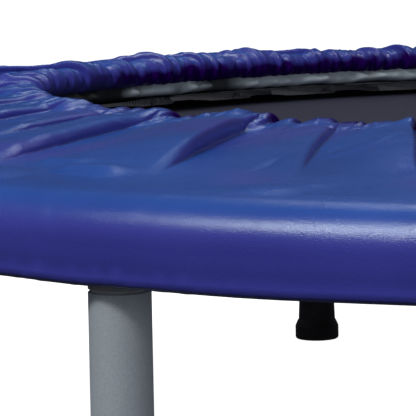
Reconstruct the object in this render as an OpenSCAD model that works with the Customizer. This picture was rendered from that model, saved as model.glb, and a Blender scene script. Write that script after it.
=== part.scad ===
// Round mini trampoline on six screw-in legs.
// Millimetres, +Z up, origin on the floor under the centre of the jumping mat.

/* [Overall] */
// Diameter of the trampoline over its cover
overall_d = 1220; // [1100:10:1400]
// Height of the frame tube's centreline above the floor
frame_z = 206; // [180:1:260]
// Height of the jumping mat above the floor, set by where the springs hook on
mat_z = 212; // [208:1:214]

/* [Frame] */
// Outer diameter of the bent frame tube
frame_tube_d = 28; // [28:1:30]
// Wall of the frame and leg tubes
tube_wall = 1.5; // [1.2:0.1:2]

/* [Legs] */
// Number of legs
leg_count = 6; // [4:1:6]
// Outer diameter of a leg tube
leg_d = 25; // [22:0.5:25]
// Thread diameter of the leg studs
thread_d = 10; // [8:1:12]
// Length of stud engaged in the frame boss
thread_engaged = 18; // [12:1:18]

/* [Rubber feet] */
// Diameter of the foot where it stands on the floor
foot_base_d = 36; // [34:1:40]
// Height of the whole foot
foot_h = 44; // [38:1:50]

/* [Jumping mat] */
// Diameter of the mat over its hem
mat_d = 896; // [880:2:900]
// Thickness of the woven mat
mat_t = 1.2; // [0.8:0.1:1.4]

/* [Springs] */
// Number of springs
spring_count = 36; // [24:2:40]
// Outer diameter of a spring's coil
spring_d = 14; // [12:0.5:14]
// Diameter of the spring wire
spring_wire = 2.6; // [2:0.1:2.6]

/* [Cover and padding] */
// Diameter of the opening that the gathered cover leaves over the mat
opening_d = 806; // [780:2:820]
// Thickness of the cover material
cover_t = 2; // [1.5:0.1:2]
// Thickness of the foam at its inner edge
foam_t = 20; // [12:1:20]

/* [Hidden] */
$fn = 48;
RING_FN = 96;       // facets round the big rings
EPS = 0.05;         // running clearance
CUT = 1;            // how far a cutting tool overshoots

frame_tube_r = frame_tube_d / 2;
frame_r = overall_d / 2 - 20;             // frame tube centreline
frame_low = frame_z - frame_tube_r;       // underside of the frame tube

// Leg stack, from the floor up
foot_floor = 8;                           // rubber under the leg tube
washer_t = 1;
boss_drop = 5;                            // how far the boss hangs below the frame tube
boss_low = frame_low - boss_drop;
leg_top = boss_low - washer_t;
leg_r = leg_d / 2;
leg_bore_r = leg_r - tube_wall;
leg_lip = 0.5;                            // chamfer round a leg's top edge
stud_r = thread_d / 2 - EPS;
stud_top = boss_low + thread_engaged;
plug_h = 12;
spigot_d = thread_d + 6;                  // boss spigot that enters the frame tube
spigot_gap = 0.2;
saddle_h = 7;                             // the boss reaches this far up beside the tube

// Rubber foot, from its base up
foot_base_h = 11;
foot_shoulder_h = 5.5;
foot_neck_low_d = leg_d + 5.4;
foot_neck_top_d = leg_d + 3.5;

// Spring run, along the radius at mat height
spring_angle = 360 / spring_count;
spring_turn = spring_angle / 2;           // keeps the springs clear of the leg bosses
staple_wire = 4.5;
staple_r = 9;                             // bend radius of a staple's centreline
tube_face_r = frame_r - sqrt(pow(frame_tube_r, 2) - pow(mat_z - frame_z, 2));
staple_bar_r = tube_face_r - 12;          // radius at which a spring's outer hook pulls
hook_r = 5.5;                             // bend radius of a spring hook's centreline
hook_in = hook_r - spring_wire / 2;
hook_arc = 215;
hook_stem = 3;                            // straight wire between a hook and its coil
ring_wire = 3.5;                          // wire of the mat's hook rings
mat_r = mat_d / 2;
ring_base_r = mat_r + 4.5;
ring_depth = 23;
ring_tip_r = ring_base_r + ring_depth;
ring_half = 13;                           // half the width of a ring's centreline
ring_bend = 3;
hook_outer_r = staple_bar_r + staple_wire / 2 + EPS - hook_in;
hook_inner_r = ring_tip_r - ring_wire / 2 - EPS + hook_in;

// Mat hem and webbing tabs
hem_t = 3.7;
hem_w = 19;
sewn_in = 7;                              // how far the mat's edge runs into the hem
tab_w = 19;
tab_t = 1.2;
tab_len = 24;

// Cover section, in radius and height
cover_out_r = overall_d / 2;
cover_top_z = frame_z + 38;
cover_hem_z = frame_low - 1.5;
opening_r = opening_d / 2;
casing_r = 4;                             // outside radius of the inner elastic's casing
casing_z = frame_z + 25;
hem_casing_r = 3.2;
hem_wall = 1.4;
hem_centre = [cover_out_r - hem_casing_r, cover_hem_z + hem_casing_r];
elastic_r = casing_r - cover_t - 0.1;
hem_elastic_r = hem_casing_r - hem_wall - 0.1;
shoulder_r = 19;                          // round of the cover's outer shoulder
shoulder = [cover_out_r - shoulder_r, frame_z + 1];
crest = [opening_r + 17, cover_top_z];
top_fall = atan((crest.y - shoulder.y - shoulder_r) / (shoulder.x - crest.x));

// Foam section
foam_low = frame_z + frame_tube_r + 0.5;
foam_rim_t = 3;                           // foam left over the frame tube

function arc(c, r, from, to, steps) =
    [for (i = [0:steps]) let (a = from + (to - from) * i / steps) c + r * [cos(a), sin(a)]];
function leg_angle(i) = (i - 1) * 360 / leg_count;

// A ring swept round the Z axis from a circle
module hoop(r, z, wire_r, facets = RING_FN) {
    translate([0, 0, z]) rotate_extrude($fn = facets) translate([r, 0]) circle(wire_r);
}

// Round wire bent through an angle about the Z axis
module bend(angle, r, wire) {
    rotate_extrude(angle = angle) translate([r, 0]) circle(d = wire);
}

module at_leg(i) {
    rotate([0, 0, leg_angle(i)]) translate([frame_r, 0, 0]) children();
}

// Repeats its children at every spring, with +X pointing outwards
module at_springs() {
    for (k = [0:spring_count - 1]) rotate([0, 0, spring_turn + k * spring_angle]) children();
}

module tube(r_out, r_in, low, high) {
    translate([0, 0, low]) difference() {
        cylinder(r = r_out, h = high - low);
        translate([0, 0, -CUT]) cylinder(r = r_in, h = high - low + 2 * CUT);
    }
}

module frame_ring() {
    color("silver") difference() {
        hoop(frame_r, frame_z, frame_tube_r);
        hoop(frame_r, frame_z, frame_tube_r - tube_wall);
        for (i = [1:leg_count])
            at_leg(i) translate([0, 0, frame_low - CUT])
                cylinder(d = spigot_d + 2 * spigot_gap, h = frame_tube_r);
    }
}

// U-bent rods welded to the frame tube, one for each spring's outer hook
module spring_staples() {
    color("silver") at_springs() difference() {
        translate([staple_bar_r, 0, mat_z]) {
            translate([staple_r, 0, 0]) rotate([0, 0, 90]) bend(180, staple_r, staple_wire);
            for (side = [-1, 1])
                translate([staple_r, side * staple_r, 0]) rotate([0, 90, 0]) cylinder(d = staple_wire, h = 12);
        }
        hoop(frame_r, frame_z, frame_tube_r, 4 * RING_FN);
    }
}

// Turned boss welded under the frame tube, tapped for a leg's stud
module leg_boss(i) {
    color("silver") difference() {
        union() {
            difference() {
                at_leg(i) translate([0, 0, boss_low]) cylinder(r = leg_r, h = boss_drop + saddle_h);
                hoop(frame_r, frame_z, frame_tube_r);
            }
            at_leg(i) translate([0, 0, boss_low]) cylinder(d = spigot_d, h = stud_top - boss_low);
        }
        at_leg(i) translate([0, 0, boss_low - CUT]) cylinder(d = thread_d, h = thread_engaged + 2 * CUT);
    }
}

module leg_washer(i) {
    color("gainsboro") at_leg(i) tube(leg_r - 2 * leg_lip, stud_r + 0.25, leg_top, boss_low);
}

module leg_tube(i) {
    color("slategray") at_leg(i) difference() {
        union() {
            translate([0, 0, foot_floor]) cylinder(r = leg_r, h = leg_top - foot_floor - leg_lip);
            translate([0, 0, leg_top - leg_lip]) cylinder(r1 = leg_r, r2 = leg_r - leg_lip, h = leg_lip);
        }
        translate([0, 0, foot_floor - CUT]) cylinder(r = leg_bore_r, h = leg_top);
    }
}

module leg_plug(i) {
    color("gray") at_leg(i) tube(leg_bore_r, stud_r, leg_top - plug_h, leg_top);
}

module leg_stud(i) {
    tip = 1;
    color("gainsboro") at_leg(i) {
        translate([0, 0, leg_top - plug_h]) cylinder(r = stud_r, h = stud_top - leg_top + plug_h - tip);
        translate([0, 0, stud_top - tip]) cylinder(r1 = stud_r, r2 = stud_r - tip, h = tip);
    }
}

module foot(i) {
    base_r = foot_base_d / 2;
    edge_r = 2;
    neck_low_r = foot_neck_low_d / 2;
    neck_top_r = foot_neck_top_d / 2;
    shoulder_z = foot_base_h + foot_shoulder_h;
    color("black") at_leg(i) rotate_extrude() polygon(concat(
        [[0, 0]],
        arc([base_r - edge_r, edge_r], edge_r, -90, 0, 4),
        [[base_r, foot_base_h], [neck_low_r + 0.8, shoulder_z - 1], [neck_low_r, shoulder_z]],
        [[neck_top_r, foot_h - 1], [neck_top_r - 0.8, foot_h], [leg_r, foot_h]],
        [[leg_r, foot_floor], [0, foot_floor]]
    ));
}

module mat() {
    color("black") translate([0, 0, mat_z - mat_t / 2])
        cylinder(r = mat_r - hem_w + sewn_in, h = mat_t, $fn = RING_FN);
}

// Folded webbing sewn round the mat's edge
module mat_hem() {
    inner = mat_r - hem_w;
    slot_r = inner + sewn_in;
    color("dimgray") rotate_extrude($fn = RING_FN) polygon([
        [inner, mat_z - hem_t / 2], [mat_r, mat_z - hem_t / 2], [mat_r, mat_z + hem_t / 2],
        [inner, mat_z + hem_t / 2], [inner, mat_z + mat_t / 2], [slot_r, mat_z + mat_t / 2],
        [slot_r, mat_z - mat_t / 2], [inner, mat_z - mat_t / 2]
    ]);
}

// Webbing loops that hold the hook rings to the hem
module mat_tabs() {
    r_in = hem_t / 2 + EPS;
    r_out = r_in + tab_t;
    color("dimgray") at_springs() translate([ring_base_r, tab_w / 2, mat_z]) rotate([90, 0, 0])
        linear_extrude(tab_w) union() {
            difference() {
                circle(r_out);
                circle(r_in);
                translate([-2 * r_out, -r_out - CUT]) square([2 * r_out, 2 * (r_out + CUT)]);
            }
            for (low = [-r_out, r_in]) translate([-tab_len, low]) square([tab_len + 0.01, tab_t]);
        }
}

// D-shaped wire rings that join the webbing loops to the springs' inner hooks
module mat_rings() {
    straight = ring_half - ring_bend;
    side = ring_depth - ring_half - ring_bend;
    color("silver") at_springs() translate([ring_base_r, 0, mat_z]) {
        translate([0, straight, 0]) rotate([90, 0, 0]) cylinder(d = ring_wire, h = 2 * straight);
        translate([ring_bend, straight, 0]) rotate([0, 0, 90]) bend(90, ring_bend, ring_wire);
        translate([ring_bend, -straight, 0]) rotate([0, 0, 180]) bend(90, ring_bend, ring_wire);
        for (y = [-ring_half, ring_half])
            translate([ring_bend, y, 0]) rotate([0, 90, 0]) cylinder(d = ring_wire, h = side);
        translate([ring_bend + side, 0, 0]) rotate([0, 0, -90]) bend(180, ring_half, ring_wire);
    }
}

// A coil's outer shape with a bent hook at each end; the hooks' mouths face up
module springs() {
    low = hook_inner_r + hook_stem;
    high = hook_outer_r - hook_stem;
    color("silver") at_springs() translate([0, 0, mat_z]) union() {
        translate([low, 0, 0]) rotate([0, 90, 0])
            tube(spring_d / 2, spring_d / 2 - spring_wire, 0, high - low);
        translate([hook_outer_r, 0, 0]) spring_hook();
        translate([hook_inner_r, 0, 0]) rotate([0, 0, 180]) spring_hook();
    }
}

module spring_hook() {
    reach = hook_stem + 1;
    rotate([90, 0, 0]) rotate([0, 0, -90]) bend(hook_arc, hook_r, spring_wire);
    translate([-reach, 0, -hook_r]) rotate([0, 90, 0]) cylinder(d = spring_wire, h = reach);
}

// Foam ring over the springs, thinning out over the frame tube
module foam_pad() {
    in_r = opening_r + 14;
    out_r = frame_r - 1;
    top = foam_low + foam_t;
    color("whitesmoke") rotate_extrude($fn = RING_FN) polygon([
        [in_r, foam_low], [in_r, top - 3], [in_r + 3, top],
        [out_r - 2, foam_low + foam_rim_t], [out_r, foam_low + foam_rim_t - 1], [out_r, foam_low]
    ]);
}

// Cover section: elastic casing at the opening, top falling outwards, round shoulder, side and hem casing
module cover() {
    t = cover_t;
    hem_in_r = hem_casing_r - hem_wall;
    casing = [opening_r + casing_r, casing_z];
    color("royalblue") rotate_extrude($fn = RING_FN) polygon(concat(
        arc(casing, casing_r, 400, 130, 12),
        [[opening_r + 8, cover_top_z - 2.5], crest],
        arc(shoulder, shoulder_r, 90 - top_fall, 0, 8),
        arc(hem_centre, hem_casing_r, 0, -190, 10),
        arc(hem_centre, hem_in_r, -190, 0, 10),
        [[cover_out_r - t, hem_centre.y + hem_casing_r]],
        arc(shoulder, shoulder_r - t, 0, 90 - top_fall, 8),
        [crest - [0, t], [opening_r + 9, cover_top_z - 5]],
        arc(casing, casing_r - t, 110, 400, 12)
    ));
}

module inner_elastic() {
    color("white") hoop(opening_r + casing_r, casing_z, elastic_r);
}

module hem_elastic() {
    color("white") hoop(hem_centre.x, hem_centre.y, hem_elastic_r);
}

frame_ring();
spring_staples();
for (i = [1:leg_count]) {
    leg_boss(i);
    leg_washer(i);
    leg_tube(i);
    leg_plug(i);
    leg_stud(i);
    foot(i);
}
mat();
mat_hem();
mat_tabs();
mat_rings();
springs();
foam_pad();
cover();
inner_elastic();
hem_elastic();
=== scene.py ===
"""Mini trampoline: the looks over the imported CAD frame. +Z is up and the origin is on the floor under the
mat. Shapes are worked out in millimetres and made into meshes in metres; materials, lights and camera are
in metres."""
import math

import bpy
import numpy as np
from mathutils import Matrix, Vector


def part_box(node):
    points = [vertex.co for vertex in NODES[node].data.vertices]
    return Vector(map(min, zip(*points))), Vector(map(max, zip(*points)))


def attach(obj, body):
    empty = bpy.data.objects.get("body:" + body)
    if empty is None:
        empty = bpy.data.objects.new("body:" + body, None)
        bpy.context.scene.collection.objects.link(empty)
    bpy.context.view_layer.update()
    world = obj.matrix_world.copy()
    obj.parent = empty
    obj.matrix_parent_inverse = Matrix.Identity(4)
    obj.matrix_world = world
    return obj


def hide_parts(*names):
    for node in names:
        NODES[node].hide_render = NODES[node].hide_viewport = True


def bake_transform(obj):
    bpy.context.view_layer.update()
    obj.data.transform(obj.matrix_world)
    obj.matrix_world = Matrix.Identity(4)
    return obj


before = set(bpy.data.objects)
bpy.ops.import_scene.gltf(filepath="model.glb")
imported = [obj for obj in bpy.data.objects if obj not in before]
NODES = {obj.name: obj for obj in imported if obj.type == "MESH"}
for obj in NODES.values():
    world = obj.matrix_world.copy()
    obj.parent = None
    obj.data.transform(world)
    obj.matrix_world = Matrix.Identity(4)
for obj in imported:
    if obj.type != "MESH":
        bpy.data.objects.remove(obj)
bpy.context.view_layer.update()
MM = 0.001
TAU = 2 * math.pi


# ------------------------------------------------------------------ sizes read from the CAD frame

cover_lo, cover_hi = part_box("cover")
ring_lo, ring_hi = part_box("frame_ring")
mat_lo, mat_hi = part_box("mat")
foam_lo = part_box("foam_pad")[0]
hem_lo, hem_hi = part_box("mat_hem")
elastic_lo, elastic_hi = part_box("inner_elastic")
cord_lo, cord_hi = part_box("hem_elastic")
tab_lo, tab_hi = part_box("mat_tabs")
spring_lo, spring_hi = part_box("springs")

OUT_R = cover_hi.x / MM                                  # outside of the cover
TOP_Z = cover_hi.z / MM                                  # crest of the cover
COVER_LOW = cover_lo.z / MM                              # lowest point of the cover
TUBE_R = (ring_hi.z - ring_lo.z) / 2 / MM
RING_R = ring_hi.x / MM - TUBE_R                         # frame tube's centreline
RING_Z = (ring_hi.z + ring_lo.z) / 2 / MM
MAT_Z = (mat_hi.z + mat_lo.z) / 2 / MM
HEM_R = hem_hi.x / MM                                    # outside of the mat's hem
MAT_R = mat_hi.x / MM
ELASTIC_R = elastic_hi.x / MM - (elastic_hi.z - elastic_lo.z) / 2 / MM
ELASTIC_Z = (elastic_hi.z + elastic_lo.z) / 2 / MM
FOAM_LOW = foam_lo.z / MM
FOAM_IN = ELASTIC_R + 10                                 # inner face of the foam
SPRINGS = 36
BAR_R = HEM_R + 4.5                                      # straight bars of the mat's wire rings


# ------------------------------------------------------------------ mesh helpers

def new_mesh(name, verts, faces, smooth=True):
    """Makes a mesh object from points in millimetres."""
    data = bpy.data.meshes.new(name)
    verts = np.asarray(verts, float).reshape(-1, 3) * MM
    data.from_pydata(verts.tolist(), [], [list(map(int, f)) for f in faces])
    data.update()
    if smooth:
        data.polygons.foreach_set("use_smooth", np.ones(len(data.polygons), bool))
    obj = bpy.data.objects.new(name, data)
    bpy.context.scene.collection.objects.link(obj)
    return obj


def grid_faces(rows, cols, wrap_cols=True, wrap_rows=False, flip=False, start=0):
    """Quads over a rows x cols grid of points stored row by row."""
    r = np.arange(rows if wrap_rows else rows - 1)
    c = np.arange(cols if wrap_cols else cols - 1)
    rr, cc = np.meshgrid(r, c, indexing="ij")
    rn, cn = (rr + 1) % rows, (cc + 1) % cols
    quads = np.stack([rr * cols + cc, rr * cols + cn, rn * cols + cn, rn * cols + cc], -1)
    quads = quads.reshape(-1, 4) + start
    return quads[:, ::-1] if flip else quads


def fast_mesh(name, verts, quads):
    """As new_mesh, for large all-quad meshes held in arrays."""
    verts = np.ascontiguousarray(np.asarray(verts, np.float32).reshape(-1, 3) * MM)
    quads = np.ascontiguousarray(quads, np.int32)
    data = bpy.data.meshes.new(name)
    data.vertices.add(len(verts))
    data.vertices.foreach_set("co", verts.ravel())
    data.loops.add(quads.size)
    data.loops.foreach_set("vertex_index", quads.ravel())
    data.polygons.add(len(quads))
    data.polygons.foreach_set("loop_start", np.arange(0, quads.size, 4, dtype=np.int32))
    data.update(calc_edges=True)
    data.validate()
    data.polygons.foreach_set("use_smooth", np.ones(len(data.polygons), bool))
    obj = bpy.data.objects.new(name, data)
    bpy.context.scene.collection.objects.link(obj)
    return obj


def tube_along(path, radius, sides=8, closed=False):
    """Points and quads of a tube of the given radius along a path, both in millimetres."""
    path = np.asarray(path, float)
    n = len(path)
    if closed:
        tangent = np.roll(path, -1, 0) - np.roll(path, 1, 0)
    else:
        tangent = np.gradient(path, axis=0)
    tangent /= np.linalg.norm(tangent, axis=1, keepdims=True)
    normal = np.zeros_like(path)
    first = np.cross(tangent[0], [0.0, 0.0, 1.0])
    if np.linalg.norm(first) < 1e-3:
        first = np.cross(tangent[0], [1.0, 0.0, 0.0])
    normal[0] = first / np.linalg.norm(first)
    for i in range(1, n):
        v = normal[i - 1] - tangent[i] * np.dot(normal[i - 1], tangent[i])
        normal[i] = v / np.linalg.norm(v)
    binormal = np.cross(tangent, normal)
    a = np.arange(sides) * TAU / sides
    radius = np.broadcast_to(np.asarray(radius, float), (n,))
    ring = (normal[:, None] * np.cos(a)[None, :, None] + binormal[:, None] * np.sin(a)[None, :, None])
    points = path[:, None] + ring * radius[:, None, None]
    return points.reshape(-1, 3), grid_faces(n, sides, True, closed)


def polar(rho, theta, z):
    """Points from radius, angle and height."""
    rho, theta, z = np.broadcast_arrays(rho, theta, z)
    return np.stack([rho * np.cos(theta), rho * np.sin(theta), z], -1)


def wobble(theta, waves, seed):
    """Smooth seeded noise round the ring, with about the given number of waves per turn."""
    rng = np.random.default_rng(seed)
    total = np.zeros_like(theta)
    low, high = max(1, int(waves * 0.6)), int(waves * 1.5) + 1
    for _ in range(14):
        k = rng.integers(low, high + 1)
        total += np.cos(k * theta + rng.uniform(0, TAU)) * rng.uniform(0.5, 1)
    return total / 2.8


def turn_from(theta, start):
    """The turn from one angle to others, at most half a turn either way."""
    return (theta - start + math.pi) % TAU - math.pi


def smoothstep(a, b, x):
    """Rises from 0 at a to 1 at b, level at both ends."""
    t = np.clip((x - a) / (b - a), 0, 1)
    return t * t * (3 - 2 * t)


def round_ring(theta, stops):
    """Smoothly joins values stated at bearings in degrees round the ring."""
    bearing = np.radians([s[0] for s in stops])
    value = np.array([s[1] for s in stops], float)
    fine = np.linspace(0, TAU, 721)[:-1]
    line = np.interp(fine, bearing, value, period=TAU)
    bands = np.fft.rfft(line)
    bands *= np.exp(-(np.arange(len(bands)) / 11) ** 2)
    line = np.fft.irfft(bands, len(fine))
    return np.interp(theta, fine, line, period=TAU)


# ------------------------------------------------------------------ the pad's even section

SHOULDER_R = 19.0                                        # rounding over the frame tube
SHOULDER = np.array([OUT_R - SHOULDER_R, RING_Z + 1])    # its centre: radius and height
NOSE_R = 10.0                                            # rounding of the foam's inner edge
NOSE = np.array([ELASTIC_R + 11.5, TOP_Z - 3.5 - NOSE_R])
TOP_SLOPE = math.atan2(NOSE[1] + NOSE_R - SHOULDER[1] - SHOULDER_R, SHOULDER[0] - NOSE[0])
FOLDS_END = SHOULDER[0] - 12                             # radius past which the folds run straight out
SLANT = 0.46                                             # how far the cloth's columns turn on their way out

# (radius, height) past the inner elastic, round the puckered edge of the opening
RIM = [(-1.8, 1.0), (-3.2, 3.0), (-5.0, 5.2), (-6.4, 7.4), (-6.2, 9.3), (-4.0, 10.6), (-0.2, 11.2),
       (5.5, 10.7)]

# What changes round the ring, as (bearing in degrees, value). Leg 1 is at 0.
PAD_LIFT = [(0, 0), (60, 2), (90, 2), (120, 1.5), (150, 3.6), (172, 3.6), (185, 3), (196, -2.5), (208, -5.5),
            (225, -5), (262, -4), (300, -2), (330, -1)]
FOLD_SHARE = [(0, 1), (150, 0.8), (180, 0.8), (200, 0.6), (215, 0.8), (250, 0.8), (280, 1)]
RIM_SHARE = [(0, 1), (150, 0.9), (180, 0.8), (195, 0.45), (215, 0.5), (250, 0.55), (280, 1)]

MOUND_H, MOUND_ANGLE, MOUND_R = 8.5, math.radians(172), 487
MOUND_ARC, MOUND_WIDTH = 62 / 480, 42                    # radians round the ring, and millimetres across it
STRETCH, STRETCH_ANGLE, STRETCH_ARC = 20.0, math.radians(184), 0.36
CLOSE_ANGLE, CLOSE_GAIN = math.radians(183.5), 0.6       # where the cloth's columns are closest


def lift(rho, theta):
    """How far the soft pad stands above its even section, or sinks below it."""
    even = round_ring(theta, PAD_LIFT) * np.interp(rho, [NOSE[0] + 10, SHOULDER[0]], [1, 0])
    turn = turn_from(theta, MOUND_ANGLE)
    return even + MOUND_H * np.exp(-(turn / MOUND_ARC) ** 2 - ((rho - MOUND_R) / MOUND_WIDTH) ** 2)


def pull(rho, theta):
    """Where the elastic is stretched outwards, the opening is a little wider."""
    turn = turn_from(theta, STRETCH_ANGLE)
    fade = 1 - smoothstep(ELASTIC_R + 12, ELASTIC_R + 75, rho)
    return STRETCH * np.exp(-(turn / STRETCH_ARC) ** 2) * fade


def spaced_angles(count):
    """Angles round the ring, more closely spaced in the half towards CLOSE_ANGLE."""
    fine = np.linspace(0, TAU, 20001)
    turn = np.abs(turn_from((fine[1:] + fine[:-1]) / 2, CLOSE_ANGLE))
    density = 1 + CLOSE_GAIN * (1 - smoothstep(1.3, 1.6, turn))
    total = np.concatenate([[0], np.cumsum(density)])
    return np.interp(np.arange(count) / count * total[-1], total, fine)


def section():
    """The cover's even section: radius and height from the inner elastic to the outer hem."""
    pts = [[ELASTIC_R + r, ELASTIC_Z + z] for r, z in RIM]
    pts.append(NOSE + (NOSE_R + 0.5) * np.array([math.sin(TOP_SLOPE), math.cos(TOP_SLOPE)]))
    for a in np.linspace(math.pi / 2 - TOP_SLOPE, 0, 9):
        pts.append(SHOULDER + SHOULDER_R * np.array([math.cos(a), math.sin(a)]))
    pts += [[OUT_R - 0.5, RING_Z - 5], [OUT_R - 1.2, RING_Z - 10], [OUT_R - 1.9, COVER_LOW + 2.2],
            [OUT_R - 3.0, COVER_LOW - 0.4], [OUT_R - 5.0, COVER_LOW - 1.0], [OUT_R - 6.6, COVER_LOW + 1.6]]
    return np.array(pts)


def resample(points, spacing):
    """Points along a line, spaced by a function of the distance along it."""
    seg = np.linalg.norm(np.diff(points, axis=0), axis=1)
    dist = np.concatenate([[0], np.cumsum(seg)])
    at, d = [0.0], 0.0
    while d < dist[-1] - spacing(d) * 0.5:
        d += spacing(d)
        at.append(min(d, dist[-1]))
    at[-1] = dist[-1]
    at = np.array(at)
    return np.stack([np.interp(at, dist, points[:, k]) for k in (0, 1)], -1), at


def cover_profile():
    """The cover's section in fine steps, with its sharp bends eased, and the distance along it."""
    def spacing(d):
        return 1.15 + 3.0 * smoothstep(22, 70, d) - 1.7 * smoothstep(185, 205, d)

    profile, along = resample(section(), spacing)
    soft = smoothstep(0, 12, along[1:-1]) * smoothstep(along[-1] - 9, along[-1] - 20, along[1:-1])
    for _ in range(6):
        middle = profile[1:-1] / 2 + (profile[:-2] + profile[2:]) / 4
        profile[1:-1] += (middle - profile[1:-1]) * soft[:, None]
    return profile, along


# ------------------------------------------------------------------ the cover's folds

class Gathers:
    """A row of folds drawn in by the elastic. Each climbs slowly to a ridge, drops steeply into the next
    valley, runs outwards on a slant and dies away at its own reach. Spacing (degrees), height and reach
    (millimetres) and ridge (share of the fold) are ranges to draw from. Valleys can be fixed at bearings in
    degrees, and the folds just before them known by bearing, height and reach."""

    def __init__(self, seed, spacing, height, reach, slant, ridge, fixed=(), known=()):
        rng = np.random.default_rng(seed)
        start, end = (fixed[-1], fixed[0] + 360) if fixed else (0.0, 360.0)
        steps = []
        while sum(steps) < end - start:
            steps.append(rng.uniform(*spacing))
        steps = np.array(steps) * (end - start) / sum(steps)
        valleys = list(fixed) + list(start + np.cumsum(steps)[:-1]) + ([] if fixed else [start])
        self.valleys = np.radians(np.sort(valleys))
        self.count = len(valleys)
        self.height = rng.uniform(*height, self.count)
        self.reach = rng.uniform(*reach, self.count)
        self.ridge = rng.uniform(*ridge, self.count)
        self.slant = slant
        for valley, tall, far in known:
            lobe = int(np.argmin(np.abs(self.valleys - math.radians(valley)))) - 1
            self.height[lobe], self.reach[lobe] = tall, far

    def shape(self, theta, rho, along):
        """How high the folds stand at each point."""
        turned = theta - self.slant * np.log(np.minimum(rho, FOLDS_END) / ELASTIC_R)
        first = self.valleys[0]
        turned = (turned - first) % TAU + first
        edges = np.append(self.valleys, first + TAU)
        at = np.interp(turned, edges, np.arange(self.count + 1))
        lobe = np.minimum(at.astype(int), self.count - 1)
        t, ridge = at - lobe, self.ridge[lobe]
        climb = np.sin(math.pi / 2 * np.minimum(t / ridge, 1)) ** 1.4
        drop = np.cos(math.pi / 2 * np.maximum((t - ridge) / (1 - ridge), 0)) ** 0.8
        fade = 1 - smoothstep(0.5, 1.0, along / self.reach[lobe])
        return climb * drop * self.height[lobe] * fade


def creases(theta, along, seed, count, band, size, lengths, widths):
    """Short pinched dents scattered over a band of the cover, at most size deep."""
    rng = np.random.default_rng(seed)
    total = np.zeros(theta.shape)
    for _ in range(count):
        t0, u0 = rng.uniform(0, TAU), rng.uniform(*band)
        turn, length, width = rng.uniform(-1.0, 1.0), rng.uniform(*lengths), rng.uniform(*widths)
        depth = rng.uniform(0.25, 1.0) * size * rng.choice([-1, 1])
        rows = np.nonzero(np.abs(along[:, 0] - u0) < 2.5 * length)[0]
        middle = rows[np.argmin(np.abs(along[rows, 0] - u0))]
        cols = np.nonzero(np.abs(turn_from(theta[middle], t0)) < 2.8 * length / 450)[0]
        part = np.ix_(rows, cols)
        dx, dy = turn_from(theta[part], t0) * 500, along[part] - u0
        p = dx * math.cos(turn) + dy * math.sin(turn)
        q = -dx * math.sin(turn) + dy * math.cos(turn)
        pinch = 1 - 0.7 * p / width * np.exp(-(p / width) ** 2)
        total[part] += depth * np.exp(-(p / width) ** 2 - (q / length) ** 2) * pinch
    return total


# bearing and radius of each toe's middle, half its length in degrees, its width and its height
TOES = [(-124.3, 556, 2.0, 5.2, 3.4), (-127.6, 541, 1.4, 5.0, 1.8), (-134.0, 528, 2.6, 6.0, 0.9),
        (-113.0, 590, 5.0, 5.0, 0.9), (-108.6, 512, 1.2, 8.0, 2.4)]


def toes(theta, rho):
    """Long low ridges where a fold turns along the ring and dies away."""
    total = np.zeros(theta.shape)
    for bearing, radius, half, width, height in TOES:
        turn = turn_from(theta, math.radians(bearing)) / math.radians(half)
        off = (rho - radius) / width
        total += height * np.exp(-turn ** 4) * np.exp(-off ** 2) * (1 + 0.5 * np.tanh(2 * off))
    return total


NEAR_VALLEYS = (212.5, 220.3, 230.5, 237.4, 242.9, 249.6)
NEAR_FOLDS = ((212.5, 5.0, 130), (220.3, 8.5, 208), (230.5, 11.0, 186), (237.4, 5.0, 176), (242.9, 8.0, 156))


def fold_heights(th, rho, u, end):
    """How far the cloth stands off its even section, and how far it leans round the ring."""
    broad = Gathers(11, (5.0, 10.5), (4.5, 8.0), (105, 176), 0.50, (0.82, 0.90), NEAR_VALLEYS, NEAR_FOLDS)
    middle = Gathers(12, (2.0, 5.6), (1.0, 3.4), (26, 95), 0.44, (0.7, 0.86))
    small = Gathers(13, (1.1, 3.1), (1.5, 4.2), (14, 46), 0.30, (0.55, 0.75))
    tiny = Gathers(14, (0.7, 1.6), (0.6, 1.7), (8, 22), 0.15, (0.45, 0.65))
    near, rim = round_ring(th[0], FOLD_SHARE), round_ring(th[0], RIM_SHARE)
    near = near * (rim + (1 - rim) * smoothstep(10, 62, u))
    b = broad.shape(th, rho, u) * smoothstep(-10, 30, u) * near
    m = middle.shape(th, rho, u) * smoothstep(-5, 18, u) * near
    s = small.shape(th, rho, u) * smoothstep(-1, 7, u) * (0.65 + 0.35 * rim)
    f = tiny.shape(th, rho, u) * smoothstep(-2, 6, u)
    h = b + m + s + f
    h = h + (creases(th, u, 21, 420, (20, 150), 0.8, (7, 22), (1.6, 3.4))
             + creases(th, u, 22, 150, (150, 215), 0.3, (7, 22), (1.6, 3.4)))
    h = h + creases(th, u, 23, 1500, (6, 34), 0.9, (2.5, 8), (1.0, 2.4))
    h = h + toes(th, rho) * (1 - smoothstep(180, 205, u))
    hem = smoothstep(end - 9, end - 3, u)
    loose = 0.25 + 0.75 * smoothstep(-1.95, -2.08, turn_from(th, 0))
    h = h + hem * loose * (0.7 * wobble(th, 250, 31) + 0.5 * wobble(th, 130, 32))
    # soft unevenness of the foam under a band that is otherwise smooth
    h = h + 0.6 * wobble(th, 34, 33) * smoothstep(150, 178, u) * (1 - smoothstep(192, 206, u))
    return h, b * 0.85 + m * 0.7 + s * 0.5 + f * 0.2


# ------------------------------------------------------------------ settling the cover as cloth

def push_off(rho, z, centre, radius, where):
    """Moves points out of a round bar of the section, where the condition holds."""
    dr, dz = rho - centre[0], z - centre[1]
    d = np.hypot(dr, dz)
    hit, s = where & (d < radius), radius / np.maximum(d, 1e-6)
    return hit, centre[0] + dr * s, centre[1] + dz * s


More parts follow.
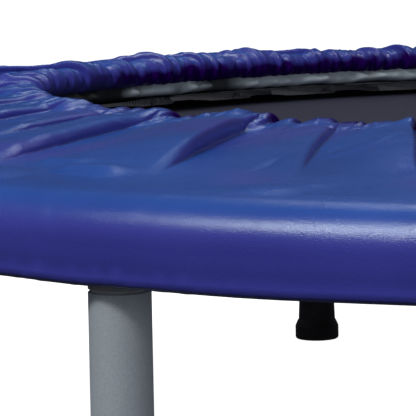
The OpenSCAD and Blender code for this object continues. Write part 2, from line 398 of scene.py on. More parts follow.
def push_out(x):
    """Keeps the cloth outside the foam's rounded inner edge, its top and the padded frame tube."""
    real_rho = np.hypot(x[..., 0], x[..., 1])
    theta = np.arctan2(x[..., 1], x[..., 0])
    out = pull(real_rho, theta)
    held = np.maximum(smoothstep(NOSE[0] - 10, NOSE[0] - 5, real_rho - out),
                      smoothstep(ELASTIC_Z, ELASTIC_Z + 8, x[..., 2]))
    up = lift(real_rho, theta) * held
    rho, z = real_rho - out, x[..., 2] - up
    new_rho, new_z = rho, z
    for centre, radius, where in ((NOSE, NOSE_R, (rho < NOSE[0]) & (z > ELASTIC_Z)),
                                  (SHOULDER, SHOULDER_R - 0.4, (rho >= SHOULDER[0]) & (z > SHOULDER[1]))):
        hit, out_rho, out_z = push_off(rho, z, centre, radius, where)
        new_rho, new_z = np.where(hit, out_rho, new_rho), np.where(hit, out_z, new_z)
    top = NOSE[1] + NOSE_R - (rho - NOSE[0]) * math.tan(TOP_SLOPE)
    new_z = np.where((rho >= NOSE[0]) & (rho < SHOULDER[0]) & (z < top), top, new_z)
    hit, out_rho, _ = push_off(rho, z, (RING_R, RING_Z), TUBE_R + 1.5, (rho > RING_R) & (z <= SHOULDER[1]))
    new_rho = np.where(hit, out_rho, new_rho)
    k = (new_rho + out) / np.maximum(real_rho, 1e-6)
    x[..., 0] *= k
    x[..., 1] *= k
    x[..., 2] = new_z + up


def solve_pair(x, a, b, rest, stiff, wa, wb, only_short=False):
    """Moves two sets of points towards their rest distance, in place."""
    d = x[b] - x[a]
    length = np.sqrt((d * d).sum(-1))
    c = (length - rest) / np.maximum(length, 1e-9)
    if only_short:
        c = np.minimum(c, 0)
    w = wa + wb
    k = (stiff * c / np.where(w > 0, w, 1))[..., None]
    x[a] += d * k * wa[..., None]
    x[b] -= d * k * wb[..., None]


def settle(x, u, loops):
    """Lets the drawn cloth give, by moving its points towards their rest distances a few times. Its first and
    last row are sewn to their elastics and stay. Changes x and returns the cloth's area in square metres."""
    rows, columns = u.shape
    right = (np.arange(columns) + 1) % columns
    rest_u = np.linalg.norm(np.roll(x, -1, 1) - x, axis=2) * (1 + 0.02 * (1 - smoothstep(120, 180, u)))
    rest_v = np.linalg.norm(x[1:] - x[:-1], axis=2)
    diag_a = np.linalg.norm(x[1:][:, right] - x[:-1], axis=2)
    diag_b = np.linalg.norm(x[1:] - x[:-1][:, right], axis=2)
    bend_u = np.linalg.norm(np.roll(x, -2, 1) - x, axis=2)
    w = np.ones((rows, columns))
    w[0] = w[-1] = 0.0
    every = slice(None)
    cols = np.arange(columns)
    here, beside = cols[None, :], right[None, :]
    old = x.copy()
    for _ in range(loops):
        move = (x - old) * 0.9
        old[:] = x
        x += move * w[..., None]
        x[..., 2] -= 0.010 * w
        for k in range(4):
            a = np.arange(k, rows - 2, 4)
            solve_pair(x, (a,), (a + 2,), (rest_v[a] + rest_v[a + 1]) * 0.995, 0.25, w[a], w[a + 2], True)
            a = np.arange(k, columns - 2, 4)
            solve_pair(x, (every, a), (every, a + 2), bend_u[:, a] * 1.02, 0.2, w[:, a], w[:, a + 2], True)
        for k in (0, 1):
            a = np.arange(k, rows - 1, 2)
            row, below = a[:, None], a[:, None] + 1
            solve_pair(x, (row, here), (below, beside), diag_a[a], 0.15, w[a], w[a + 1])
            solve_pair(x, (row, beside), (below, here), diag_b[a], 0.15, w[a], w[a + 1])
        for a in (cols[0:columns - 1:2], cols[1::2]):
            solve_pair(x, (every, a), (every, right[a]), rest_u[:, a], 0.9, w[:, a], w[:, right[a]])
        for k in (0, 1):
            a = np.arange(k, rows - 1, 2)
            solve_pair(x, (a,), (a + 1,), rest_v[a], 0.9, w[a], w[a + 1])
        push_out(x)
    return float((rest_u[:-1] * rest_v).sum()) * 1e-6


def gathered_cover(columns, loops):
    """The vinyl cover, drawn in by its two elastics and settled over the foam as cloth. Returns its points
    (rows, columns, 3), the distance along its section and the cloth's area in square metres."""
    profile, along = cover_profile()
    t = np.gradient(profile, axis=0)
    t /= np.linalg.norm(t, axis=1, keepdims=True)
    normal = np.stack([t[:, 1], -t[:, 0]], -1)
    inside = [(SHOULDER[0] + NOSE[0]) / 2, RING_Z]
    normal *= np.where((normal * (profile - inside)).sum(1) < 0, -1, 1)[:, None]
    u = np.broadcast_to(along[:, None], (len(profile), columns))
    rho = np.broadcast_to(profile[:, :1], u.shape)
    th = spaced_angles(columns)[None, :] + SLANT * np.log(np.clip(rho, ELASTIC_R, FOLDS_END) / ELASTIC_R)
    h, lean = fold_heights(th, rho, u, along[-1])
    r = rho + normal[:, :1] * h + pull(rho, th)
    z = profile[:, 1:] + normal[:, 1:] * h + lift(rho, th) * smoothstep(0, 13, u)
    dip = 0.8 * np.exp(-((np.degrees(th) % 360 - 239) / 2.6) ** 2)
    z = z + (0.5 * wobble(th, 14, 34) - dip) * smoothstep(212, 244, u)
    x = polar(r, th + lean / rho, z)
    area = settle(x, u, loops)
    return x, along, area


# ------------------------------------------------------------------ materials

def colour_ramp(nodes, stops):
    """A colour ramp through (position, colour) stops."""
    n = nodes.new("ShaderNodeValToRGB")
    e = n.color_ramp.elements
    while len(e) < len(stops):
        e.new(0.5)
    for item, (position, colour) in zip(e, stops):
        item.position = position
        item.color = (*colour, 1)
    return n


class Shader:
    """A procedural material in the making. Each call adds one node and returns the output to build on."""

    def __init__(self, name):
        self.material = bpy.data.materials.new(name)
        self.material.use_nodes = True
        self.nodes, self.links = self.material.node_tree.nodes, self.material.node_tree.links
        self.place = self.nodes.new("ShaderNodeTexCoord").outputs

    def put(self, socket, value):
        """Joins an output to an input socket, or sets the socket's own value."""
        if isinstance(value, bpy.types.NodeSocket):
            self.links.new(value, socket)
        else:
            socket.default_value = value

    def node(self, kind, output, inputs, **settings):
        """Adds a node with its settings and its inputs, which go by name or number."""
        n = self.nodes.new("ShaderNode" + kind)
        for key, value in settings.items():
            setattr(n, key, value)
        for key, value in inputs.items():
            self.put(n.inputs[key], value)
        return n.outputs[output]

    def noise(self, scale, detail, roughness=0.5):
        """Soft noise, fixed to the object."""
        inputs = {"Vector": self.place["Object"], "Scale": scale, "Detail": detail, "Roughness": roughness}
        return self.node("TexNoise", "Fac", inputs)

    def cells(self, scale):
        """Distance from the centres of scattered cells."""
        return self.node("TexVoronoi", "Distance", {"Vector": self.place["Object"], "Scale": scale})

    def bands(self, scale, direction):
        """Parallel bands across one direction."""
        inputs = {"Vector": self.place["Object"], "Scale": scale, "Distortion": 0.0}
        return self.node("TexWave", "Fac", inputs, bands_direction=direction)

    def axis(self, coordinates, letter):
        """One component of the Object or Normal coordinates."""
        return self.node("SeparateXYZ", letter, {"Vector": self.place[coordinates]})

    def radius(self):
        """Distance from the trampoline's axis."""
        inputs = {0: self.place["Object"], 1: (1, 1, 0)}
        flat = self.node("VectorMath", "Vector", inputs, operation="MULTIPLY")
        return self.node("VectorMath", "Value", {0: flat}, operation="LENGTH")

    def spread(self, value, low, high, to_low=0.0, to_high=1.0, curve="LINEAR"):
        """Maps low..high to to_low..to_high and holds the ends."""
        inputs = {"Value": value, "From Min": low, "From Max": high, "To Min": to_low, "To Max": to_high}
        return self.node("MapRange", "Result", inputs, interpolation_type=curve)

    def math(self, operation, *values):
        """One sum on outputs or plain numbers."""
        return self.node("Math", 0, dict(enumerate(values)), operation=operation)

    def dimmed(self, colour, share):
        """A colour scaled by a share."""
        return self.node("VectorMath", "Vector", {0: colour, "Scale": share}, operation="SCALE")

    def mix(self, share, first, second):
        """The first colour where the share is 0 and the second where it is 1."""
        return self.node("Mix", 2, {0: share, 6: first, 7: second}, data_type="RGBA")

    def ramp(self, value, stops):
        """The colour that the stops give for a value."""
        n = colour_ramp(self.nodes, stops)
        self.put(n.inputs["Fac"], value)
        return n.outputs["Color"]

    def bump(self, height, strength, distance, **under):
        """Raises the surface by a height, over the Normal of another bump if one is given."""
        inputs = {"Height": height, "Strength": strength, "Distance": distance, **under}
        return self.node("Bump", "Normal", inputs)

    def finished(self, **inputs):
        """The material, with the surface's inputs set. In their names _ stands for a space."""
        surface = self.nodes["Principled BSDF"]
        for key, value in inputs.items():
            self.put(surface.inputs[key.replace("_", " ")], value)
        return self.material


def vinyl():
    """Glossy blue vinyl with a fine pressed grain. The pigment reads violet on upright faces. A painted sheen
    turns it bluer where the vinyl lies flat, broken by violet patches on the top, and faces turned downwards
    are darkened as painted shade. Inside the gathered edge, where little light reaches, it is painted deep
    violet with little gloss as painted shade."""
    s = Shader("blue_vinyl")
    cloud = s.noise(14.0, 3.0, 0.55)
    slope = s.axis("Normal", "Z")
    radius = s.radius()

    # painted sheen and shade: faces that lie flat turn bluer, except in noise patches on the top, and faces
    # turned downwards are darkened
    patches = s.spread(s.noise(9.0, 2.0), 0.48, 0.66, 0.0, -0.42)
    on_top = s.spread(radius, (SHOULDER[0] - 28) * MM, (SHOULDER[0] - 6) * MM, 1.0, 0.0)
    level = s.math("ADD", slope, s.math("MULTIPLY", patches, on_top))
    painted_sheen_share = s.spread(level, 0.25, 0.95, curve="SMOOTHSTEP")
    violet = s.ramp(cloud, [(0.3, (0.033, 0.036, 0.265)), (0.7, (0.037, 0.041, 0.295))])
    blue = s.ramp(cloud, [(0.3, (0.005, 0.045, 0.255)), (0.7, (0.007, 0.058, 0.300))])
    painted_light_and_shade = s.dimmed(s.mix(painted_sheen_share, violet, blue), s.spread(slope, -0.55, -0.05, 0.55, 1.0))

    # painted shade: low inside the gathered edge the colour turns deep violet and the gloss drops
    uneven_z = s.math("MULTIPLY_ADD", s.noise(75.0, 1.0), 14.0 * MM, s.axis("Object", "Z"))
    above = s.spread(uneven_z, (ELASTIC_Z + 15.5) * MM, (ELASTIC_Z + 19.5) * MM)
    outside = s.spread(radius, (ELASTIC_R - 2.5) * MM, (ELASTIC_R + 4.5) * MM)
    outside_painted_shade = s.math("MAXIMUM", above, outside)

    dents = s.bump(s.noise(55.0, 3.0), 0.07, 0.0018)
    return s.finished(Base_Color=s.mix(outside_painted_shade, (0.015, 0.001, 0.080, 1), painted_light_and_shade),
                      Specular_IOR_Level=s.spread(outside_painted_shade, 0.0, 1.0, 0.02, 0.62),
                      Specular_Tint=(0.78, 0.93, 1.0, 1), IOR=1.45,
                      Roughness=s.spread(cloud, 0.3, 0.7, 0.24, 0.31),
                      Normal=s.bump(s.noise(2100.0, 1.0), 0.36, 0.0003, Normal=dents))


def lining():
    """Pale woven backing of the vinyl, mottled with painted light and shade, and darkened as painted shade
    where it runs in under the pad.
    """
    s = Shader("grey_lining")
    # noise from near black to pale grey paints light and shade in patches over the backing
    tone = s.ramp(s.noise(11.0, 1.0), [(0.36, (0.03, 0.036, 0.04)), (0.62, (0.45, 0.53, 0.60))])
    # painted shade: darker past the elastic, where the backing runs in under the pad
    painted_shade_under_pad = s.spread(s.radius(), (ELASTIC_R - 1) * MM, (ELASTIC_R + 4) * MM, 1.0, 0.03)
    return s.finished(Base_Color=s.dimmed(tone, painted_shade_under_pad), Roughness=0.6,
                      Normal=s.bump(s.noise(900.0, 2.0), 0.3, 0.0003))


def foam():
    """Pale closed-cell foam."""
    s = Shader("foam")
    cells = s.cells(700.0)
    return s.finished(Base_Color=s.ramp(cells, [(0.0, (0.45, 0.47, 0.50)), (0.7, (0.62, 0.64, 0.66))]),
                      Roughness=0.8, Normal=s.bump(cells, 0.4, 0.0005))


def woven_mat():
    """Tightly woven black polypropylene."""
    s = Shader("woven_mat")
    weave = s.math("MULTIPLY", s.bands(260.0, "X"), s.bands(260.0, "Y"))
    return s.finished(Base_Color=s.ramp(weave, [(0.0, (0.022, 0.023, 0.040)), (1.0, (0.050, 0.052, 0.080))]),
                      Roughness=s.spread(s.noise(6.0, 4.0), 0.3, 0.7, 0.52, 0.62), Specular_IOR_Level=0.15,
                      Normal=s.bump(weave, 0.35, 0.0004))


def webbing(name, colour, scale):
    """Ribbed woven tape."""
    s = Shader(name)
    ribs = s.cells(scale)
    return s.finished(Base_Color=s.ramp(ribs, [(0.0, tuple(c * 1.5 for c in colour)), (0.8, colour)]),
                      Roughness=0.85, Specular_IOR_Level=0.03, Normal=s.bump(ribs, 0.5, 0.0004))


def powder_coat(name, colour):
    """Powder-coated tube with the coating's fine orange peel and metal flake."""
    s = Shader(name)
    dark, light = tuple(c * 0.9 for c in colour), tuple(c * 1.1 for c in colour)
    return s.finished(Base_Color=s.ramp(s.noise(1900.0, 2.0), [(0.35, dark), (0.65, light)]), Metallic=0.35,
                      Roughness=s.spread(s.noise(22.0, 5.0), 0.3, 0.7, 0.37, 0.48),
                      Normal=s.bump(s.noise(480.0, 2.0), 0.16, 0.0002))


def zinc():
    """Bright zinc-plated steel with a drawn grain."""
    s = Shader("zinc_steel")
    tone = s.ramp(s.cells(160.0), [(0.0, (0.50, 0.51, 0.53)), (1.0, (0.68, 0.69, 0.70))])
    drawn = s.spread(s.noise(900.0, 3.0), 0.0, 1.0, 0.26, 0.42)
    return s.finished(Base_Color=tone, Roughness=drawn, Metallic=1.0)


def rubber():
    """Matte moulded black rubber, a little dusty."""
    s = Shader("foot_rubber")
    dust = s.ramp(s.noise(60.0, 4.0), [(0.35, (0.011, 0.011, 0.013)), (0.75, (0.022, 0.022, 0.025))])
    return s.finished(Base_Color=dust, Roughness=0.62, Specular_IOR_Level=0.3,
                      Normal=s.bump(s.noise(1200.0, 2.0), 0.25, 0.0002))


VINYL = vinyl()
LINING = lining()
FOAM = foam()
WOVEN = woven_mat()
# black webbing, darkened further as painted shade under the pad
HEM_TAPE = webbing("hem_webbing", (0.003, 0.003, 0.0035), 420.0)
ELASTIC = webbing("elastic", (0.55, 0.55, 0.55), 700.0)
FRAME_PAINT = powder_coat("frame_powder_coat", (0.24, 0.25, 0.27))
LEG_PAINT = powder_coat("leg_powder_coat", (0.42, 0.48, 0.54))
ZINC = zinc()
RUBBER = rubber()


def paint(obj, material):
    """Gives an object one material."""
    obj.data.materials.clear()
    obj.data.materials.append(material)


# ------------------------------------------------------------------ carried-over CAD nodes

for name, obj in NODES.items():
    if name.startswith(("leg_tube", "leg_plug")):
        paint(obj, LEG_PAINT)
    elif name.startswith("foot_"):
        paint(obj, RUBBER)
    elif name.startswith(("leg_washer", "leg_stud", "springs", "mat_rings")):
        paint(obj, ZINC)
    elif name.startswith(("frame_ring", "spring_staples", "leg_boss")):
        paint(obj, FRAME_PAINT)
    elif name.startswith(("mat_hem", "mat_tabs")):
        paint(obj, HEM_TAPE)
    elif "elastic" in name:
        paint(obj, ELASTIC)


# ------------------------------------------------------------------ cover, lining, foam and elastics

points, along, area = gathered_cover(2200, 12)
rows, columns = points.shape[:2]
cover = fast_mesh("cover_skin", points, grid_faces(rows, columns, flip=True))
paint(cover, VINYL)
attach(cover, "frame")
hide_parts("cover")


def swept_ring(name, path, columns, offset, flip=False, closed=False):
    """A ring from a section of (radius, height) points, moved by offset(angle, distance along the section).
    Returns the mesh object, the distance along the section and the ring's points."""
    path = np.asarray(path, float)
    along = np.concatenate([[0], np.cumsum(np.linalg.norm(np.diff(path, axis=0), axis=1))])
    th = np.broadcast_to(np.arange(columns)[None, :] * TAU / columns, (len(path), columns))
    d_rho, d_z = offset(th, along[:, None])
    pts = polar(path[:, :1] + d_rho, th, path[:, 1:] + d_z)
    return fast_mesh(name, pts, grid_faces(len(path), columns, True, closed, flip)), along, pts


# (radius, height) past the inner elastic of the backing: drawn in with the vinyl, it billows out under it
BILLOW = [(-2.0, 2.2), (-2.9, 0.4), (-4.0, -1.4), (-4.8, -3.2), (-4.6, -5.0), (-3.0, -6.4), (-0.2, -7.3),
          (4.5, -8.2), (11.5, -9.2)]
# and on under the foam's flat underside
TUCKED = [(18, -0.2), (26, -0.6), (36, -0.7), (46, -0.8)]
backing_path, _ = resample(np.array([(ELASTIC_R + r, ELASTIC_Z + z) for r, z in BILLOW]
                                    + [(ELASTIC_R + r, FOAM_LOW + z) for r, z in TUCKED]), lambda d: 1.5)


def billows(theta, along):
    """Loose bulges of the backing below the elastic."""
    wave = 2.6 * wobble(theta, 42, 51) + 1.0 * wobble(theta, 100, 52) + 0.35 * wobble(theta, 260, 53)
    bulge = smoothstep(0.5, 8, along) * (1 - smoothstep(15, 30, along))
    return pull(ELASTIC_R, theta) * (1 - smoothstep(14, 44, along)) - wave * bulge, wave * 0.35 * bulge


backing, line, pts = swept_ring("cover_backing", backing_path, 1080, billows)
paint(backing, LINING)
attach(backing, "frame")
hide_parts("cover")

# foam: rounded inner edge, top falling outwards, thin rim over the frame tube
pad = [[FOAM_IN + 1.5, FOAM_LOW + 1.2]]
for a in np.radians(np.linspace(188, 90 - math.degrees(TOP_SLOPE), 9)):
    pad.append(NOSE + (NOSE_R - 1.3) * np.array([math.cos(a), math.sin(a)]))
for k in range(1, 12):
    reach = NOSE[0] + (SHOULDER[0] - 4 - NOSE[0]) * k / 11
    pad.append([reach, NOSE[1] + NOSE_R - 1.6 - (reach - NOSE[0]) * math.tan(TOP_SLOPE)])
pad += [[SHOULDER[0] - 3, FOAM_LOW + 1.4], [SHOULDER[0] - 3.6, FOAM_LOW + 0.3],
        [SHOULDER[0] - 30, FOAM_LOW + 0.1], [SHOULDER[0] - 80, FOAM_LOW + 0.1],
        [FOAM_IN + 40, FOAM_LOW + 0.1], [FOAM_IN + 4, FOAM_LOW + 0.2]]
pad_z = np.array(pad)[:, 1:]
top_share = np.clip((pad_z - FOAM_LOW - 2) / 8, 0, 1)


def pad_shape(theta, _):
    """The foam follows the cover's stretch and lift, and its top is a little uneven."""
    rho = np.array(pad)[:, :1]
    return pull(rho, theta), (lift(rho, theta) - 0.25 + 0.25 * wobble(theta, 24, 61)) * top_share


foam_ring, _, _ = swept_ring("foam_ring", pad, 360, pad_shape, True, True)
paint(foam_ring, FOAM)
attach(foam_ring, "frame")
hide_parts("foam_pad")


def braided_ring(name, radius, z, thick, seed, node):
    """Covered elastic cord: a twisted ring that wavers a little."""
    th = np.arange(720) * TAU / 720
    rho = radius + pull(radius, th) + 0.12 * wobble(th, 60, seed)
    path = polar(rho, th, z + 0.12 * wobble(th, 70, seed + 1))
    verts, quads = tube_along(path, thick * (1 + 0.05 * np.cos(th * 360)), 8, True)
    obj = fast_mesh(name, verts, quads)
    paint(obj, ELASTIC)
    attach(obj, "frame")
    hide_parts(node)


INNER_CORD_R = (elastic_hi.z - elastic_lo.z) / 2 / MM * 0.94
HEM_CORD_R = (cord_hi.z - cord_lo.z) / 2 / MM
braided_ring("inner_elastic_cord", ELASTIC_R, ELASTIC_Z, INNER_CORD_R, 71, "inner_elastic")
braided_ring("hem_elastic_cord", cord_hi.x / MM - HEM_CORD_R, (cord_hi.z + cord_lo.z) / 2 / MM,
             HEM_CORD_R * 0.6, 73, "hem_elastic")


# ------------------------------------------------------------------ jumping mat, hem, loops

def jumping_mat():
    """Stretched woven disc, drawn down a hair between the springs."""
    rings = np.concatenate([np.linspace(0.5, MAT_R - 12, 30), np.linspace(MAT_R - 10, MAT_R - 0.4, 6)])
    n = 216
    th = np.arange(n) * TAU / n
    rho = rings[:, None] * np.ones((1, n))
    scallop = 0.25 * (1 - np.cos(th * SPRINGS))[None, :] * smoothstep(MAT_R - 60, MAT_R, rho)
    z = MAT_Z - 1.3 * (1 - (rho / MAT_R) ** 2) - 0.15 * scallop
    half = 0.5
    top = polar(rho, th[None, :], z + half)
    low = polar(rho[::-1], th[None, :], z[::-1] - half)
    verts = np.concatenate([top.reshape(-1, 3), low.reshape(-1, 3)])
    quads = grid_faces(2 * len(rings), n, True, False, True)
    return fast_mesh("mat_weave", verts, quads)


weave = jumping_mat()
paint(weave, WOVEN)
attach(weave, "mat")
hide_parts("mat")


def hem_shape(theta, _):
    """Puckers of a stitched tape."""
    return 0.12 * np.cos(theta * 720), 0.07 * np.cos(theta * 360) + 0.05 * wobble(theta, 200, 81)


HEM_IN = MAT_R - 7
HEM_T = (hem_hi.z - hem_lo.z) / 2 / MM
# upper half of the folded tape, with a row of stitches near each edge, then its lower half
hem_top = [(HEM_IN, HEM_T - 0.6), (HEM_IN + 0.5, HEM_T - 0.1), (HEM_IN + 2.1, HEM_T - 0.05),
           (HEM_IN + 3, HEM_T - 0.45), (HEM_IN + 4, HEM_T - 0.05), (HEM_R - 5, HEM_T - 0.05),
           (HEM_R - 4, HEM_T - 0.45), (HEM_R - 3, HEM_T - 0.05), (HEM_R - 0.8, HEM_T - 0.3)]
hem_low = [(HEM_R - 0.8, HEM_T - 0.3), (HEM_R - 3, HEM_T - 0.05), (HEM_IN + 1, HEM_T - 0.05),
           (HEM_IN, HEM_T - 0.6)]
hem_path = ([(HEM_IN, MAT_Z + 0.75)] + [(r, MAT_Z + z) for r, z in hem_top] + [(HEM_R - 0.1, MAT_Z)]
            + [(r, MAT_Z - z) for r, z in hem_low] + [(HEM_IN, MAT_Z - 0.75)])
tape, _, _ = swept_ring("mat_hem_tape", hem_path, 720, hem_shape, False, True)
paint(tape, HEM_TAPE)
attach(tape, "mat")
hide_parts("mat_hem")

LOOP_Z = (tab_hi.z - tab_lo.z) / 2 / MM - 0.1            # half a loop's height
LOOP_T = 1.0                                             # thickness of its webbing
LOOP_HALF = 9.4                                          # half its width
STITCHES = (0, 2, 7)                                     # steps of its length that are sewn down


def webbing_loop(angle):
    """A webbing loop over the hem, with a stitched box and ribs along its length."""
    def bend(radius, start, end):
        """The webbing's way round the wire ring's bar."""
        return [[BAR_R + radius * math.cos(a), MAT_Z + radius * math.sin(a)]
                for a in np.linspace(start, end, 9)]

    straight = [BAR_R - d for d in (23.6, 22.6, 21.4, 17, 13, 9, 7.6, 6.4, 3)]
    top = [[r, MAT_Z + LOOP_Z - (0.35 if i in STITCHES else 0.0)] for i, r in enumerate(straight)]
    path = top + bend(LOOP_Z, math.pi / 2, -math.pi / 2) + [[r, 2 * MAT_Z - z] for r, z in top[::-1]]
    inner = LOOP_Z - LOOP_T
    under = ([[r, MAT_Z - inner] for r in straight] + bend(inner, -math.pi / 2, math.pi / 2)
             + [[r, MAT_Z + inner] for r in straight[::-1]])
    loop = np.array(path + under)
    across = np.linspace(-LOOP_HALF, LOOP_HALF, 15)
    rib = 0.10 * np.cos(np.arange(15) * math.pi)
    rib[[0, -1]] = -0.25
    outer = np.where(np.arange(len(loop)) < len(path), 1.0, 0.0)[:, None]
    r, z = loop[:, :1], loop[:, 1:] + outer * np.sign(loop[:, 1:] - MAT_Z) * rib
    verts = np.stack([r * math.cos(angle) - across * math.sin(angle),
                      r * math.sin(angle) + across * math.cos(angle), z], -1)
    return verts.reshape(-1, 3), len(loop), len(across)


def webbing_loops():
    """All the loops in one mesh, each with the two cut edges of its webbing closed."""
    verts, faces, start = [], [], 0
    for k in range(SPRINGS):
        v, n_rows, n_cols = webbing_loop((k + 0.5) * TAU / SPRINGS)
        verts.append(v)
        faces.append(grid_faces(n_rows, n_cols, False, True, True, start))
        half = (n_rows - 1) // 2
        for side in (0, n_cols - 1):
            ids = start + np.arange(n_rows) * n_cols + side
            cap = [[ids[i], ids[i + 1], ids[n_rows - 2 - i], ids[n_rows - 1 - i]] for i in range(half)]
            faces.append(np.array(cap)[:, ::(1 if side else -1)])
        start += len(v)
    return fast_mesh("mat_loops", np.concatenate(verts), np.concatenate(faces))


loops = webbing_loops()
paint(loops, HEM_TAPE)
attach(loops, "mat")
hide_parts("mat_tabs")


# ------------------------------------------------------------------ springs

COIL_R = (spring_hi.z - spring_lo.z) / 2 / MM
TURNS = 27
WIRE = 2.6
HOOK_R = 5.5                                             # bend of a hook's centreline
HOOK_MOUTH = HOOK_R - WIRE / 2
HOOK_STEM = 3.4                                          # straight wire between a hook and its coil
GAP = 0.05                                               # between a hook and what it hangs on
MAT_RING_WIRE, MAT_RING_DEPTH = 3.5, 23
STAPLE_WIRE, STAPLE_REACH = 4.5, 12                      # reach of a staple's bar from the frame tube's face
tube_face = RING_R - math.sqrt(TUBE_R ** 2 - (MAT_Z - RING_Z) ** 2)
HOOK_IN = BAR_R + MAT_RING_DEPTH - MAT_RING_WIRE / 2 - GAP + HOOK_MOUTH
HOOK_OUT = tube_face - STAPLE_REACH + STAPLE_WIRE / 2 + GAP - HOOK_MOUTH


def coil_spring(angle):
    """One extension spring: close-wound coil between two open hooks."""
    low, high = HOOK_IN + HOOK_STEM, HOOK_OUT - HOOK_STEM
    mean = COIL_R - WIRE / 2
    t = np.linspace(0, 1, TURNS * 12 + 1)
    a = t * TURNS * TAU - math.pi / 2
    coil = np.stack([low + (high - low) * t, mean * np.cos(a), mean * np.sin(a)], -1)
    arc = np.radians(np.linspace(125, -90, 13))
    hook = np.stack([HOOK_R * np.cos(arc), 0 * arc, HOOK_R * np.sin(arc)], -1)
    outer = (hook + [HOOK_OUT, 0, 0])[::-1]
    inner = hook * [-1, 1, 1] + [HOOK_IN, 0, 0]
    path = np.concatenate([inner, coil, outer])
    keep = np.concatenate([[True], np.linalg.norm(np.diff(path, axis=0), axis=1) > 0.05])
    verts, quads = tube_along(path[keep], WIRE / 2 * 0.97, 6)
    x, y, z = verts.T
    c, s = math.cos(angle), math.sin(angle)
    return np.stack([x * c - y * s, x * s + y * c, z + MAT_Z], -1), quads


for k in range(SPRINGS):
    angle = (k + 0.5) * TAU / SPRINGS
    verts, quads = coil_spring(angle)
    spring = fast_mesh(f"coil_spring_{k + 1:02d}", verts, quads)
    paint(spring, ZINC)
    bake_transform(spring)
    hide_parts("springs")


# ------------------------------------------------------------------ threaded studs

THREAD_PITCH = 1.5
THREAD_DEPTH = 0.85
SHANK = 4                                                # plain part of a stud, up to the first thread
RUN_OUT = 1.2                                            # length over which the thread fades at the tip
SIDES = 18


def threaded_stud(i):
    """M10 stud: a plain shank inside the leg's plug, then rolled threads."""
    lo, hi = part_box(f"leg_stud_{i}")
    cx, cy = (lo.x + hi.x) / 2 / MM, (lo.y + hi.y) / 2 / MM
    r, low, high = (hi.x - lo.x) / 2 / MM, lo.z / MM, hi.z / MM
    th = np.arange(SIDES) * TAU / SIDES
    body = [polar(r * 0.93, th, z) for z in (low, low + 3.2)]
    steps = int((high - low - SHANK) / THREAD_PITCH * 4)
    for z in low + SHANK + np.arange(steps + 1) * THREAD_PITCH / 4:
        phase = ((z - low) / THREAD_PITCH - th / TAU) % 1
        full = np.clip((high - z) / RUN_OUT, 0.0, 1.0)
        body.append(polar(r - THREAD_DEPTH * np.abs(phase - 0.5) * 2 * full - 0.5 * (1 - full), th, z))
    verts = np.concatenate(body + [[[0, 0, low]], [[0, 0, high]]]) + [cx, cy, 0]
    quads = grid_faces(len(body), SIDES).tolist()
    a, b = len(verts) - 2, len(verts) - 1
    last = (len(body) - 1) * SIDES
    caps = [[(k + 1) % SIDES, k, a] for k in range(SIDES)]
    caps += [[last + k, last + (k + 1) % SIDES, b] for k in range(SIDES)]
    obj = new_mesh(f"threaded_stud_{i}", verts, quads + caps)
    paint(obj, ZINC)
    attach(obj, f"leg_{i}")
    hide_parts(f"leg_stud_{i}")


for i in range(1, 7):
    threaded_stud(i)


# ------------------------------------------------------------------ stage, light and camera

FAR = 60000                                              # half the floor's side
corners = [[-FAR, -FAR, 0], [FAR, -FAR, 0], [FAR, FAR, 0], [-FAR, FAR, 0]]
floor = new_mesh("floor", corners, [[0, 1, 2, 3]], False)
paint(floor, Shader("pale_floor").finished(
    Base_Color=(0.5, 0.5, 0.5, 1), Roughness=0.9, Specular_IOR_Level=0.0, Emission_Color=(1, 1, 1, 1),
    Emission_Strength=1.0))
floor.visible_diffuse = False
floor.visible_glossy = False

# brightness of the surround from straight down (0) over the horizon (0.5) to straight up (1)
WORLD_STOPS = [(0.0, (0.06, 0.06, 0.07)), (0.5, (0.06, 0.06, 0.07)), (0.66, (0.06, 0.065, 0.075)),
               (0.80, (0.18, 0.19, 0.21)), (1.0, (0.32, 0.33, 0.35))]


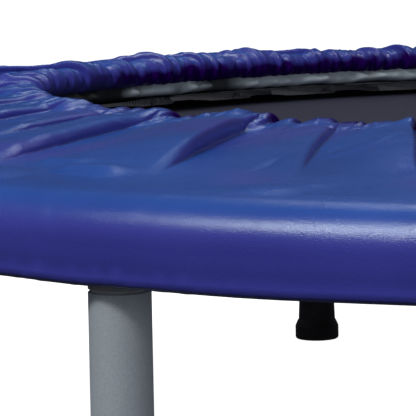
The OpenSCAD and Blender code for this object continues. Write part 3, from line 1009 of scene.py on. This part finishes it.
def studio_world():
    """Studio surround: bright overhead, dimmer towards the horizon, dark below it."""
    w = bpy.data.worlds.new("studio")
    bpy.context.scene.world = w
    w.use_nodes = True
    n, l = w.node_tree.nodes, w.node_tree.links
    split, height = n.new("ShaderNodeSeparateXYZ"), n.new("ShaderNodeMapRange")
    height.inputs["From Min"].default_value = -1.0
    tone = colour_ramp(n, WORLD_STOPS)
    l.new(n.new("ShaderNodeTexCoord").outputs["Generated"], split.inputs["Vector"])
    l.new(split.outputs["Z"], height.inputs["Value"])
    l.new(height.outputs["Result"], tone.inputs["Fac"])
    l.new(tone.outputs["Color"], n["Background"].inputs["Color"])


studio_world()


def softbox(name, place, aim, size, power, colour=(1, 1, 1)):
    """A rectangular area light at a place, aimed at a point. Power is in watts."""
    data = bpy.data.lights.new(name, "AREA")
    data.shape = "RECTANGLE"
    data.size, data.size_y = size
    data.energy = power
    data.color = colour
    obj = bpy.data.objects.new(name, data)
    bpy.context.scene.collection.objects.link(obj)
    obj.location = place
    obj.rotation_mode = "QUATERNION"
    obj.rotation_quaternion = (Vector(aim) - Vector(place)).to_track_quat("-Z", "Y")
    return obj


softbox("key", (-1.06, -1.40, 1.67), (-0.2, -0.57, 0.21), (1.2, 0.27), 36, (1.0, 0.975, 0.93))
for fill in (softbox("left_fill", (-2.4, -1.7, 0.7), (-0.3, -0.5, 0.15), (1.0, 1.0), 3.0),
             softbox("right_fill", (1.5, -2.0, 0.5), (-0.2, -0.5, 0.12), (0.9, 0.9), 13)):
    fill.visible_glossy = False
softbox("back", (0.12, 0.45, 1.5), (-0.15, -0.35, 0.2), (1.3, 0.14), 6)


# ------------------------------------------------------------------ camera

CAMERA_AT = (-0.1519, -1.3889, 0.311)
HEADING, TILT, ROLL = math.radians(97.0), math.radians(-6.0), math.radians(1.02)
forward = Vector((math.cos(HEADING) * math.cos(TILT), math.sin(HEADING) * math.cos(TILT),
                  math.sin(TILT)))
right = forward.cross(Vector((0, 0, 1))).normalized()
up = right.cross(forward)
right, up = right * math.cos(ROLL) - up * math.sin(ROLL), up * math.cos(ROLL) + right * math.sin(ROLL)
camera_data = bpy.data.cameras.new("camera")
camera = bpy.data.objects.new("camera", camera_data)
bpy.context.scene.collection.objects.link(camera)
bpy.context.scene.camera = camera
camera_data.sensor_width = 36
camera_data.lens = 198.8
camera_data.clip_start, camera_data.clip_end = 0.05, 300
basis = Matrix((right, up, -forward)).transposed()
camera.matrix_world = Matrix.Translation(CAMERA_AT) @ basis.to_4x4()

scene = bpy.context.scene
scene.view_settings.view_transform = "Standard"
scene.view_settings.look = "None"
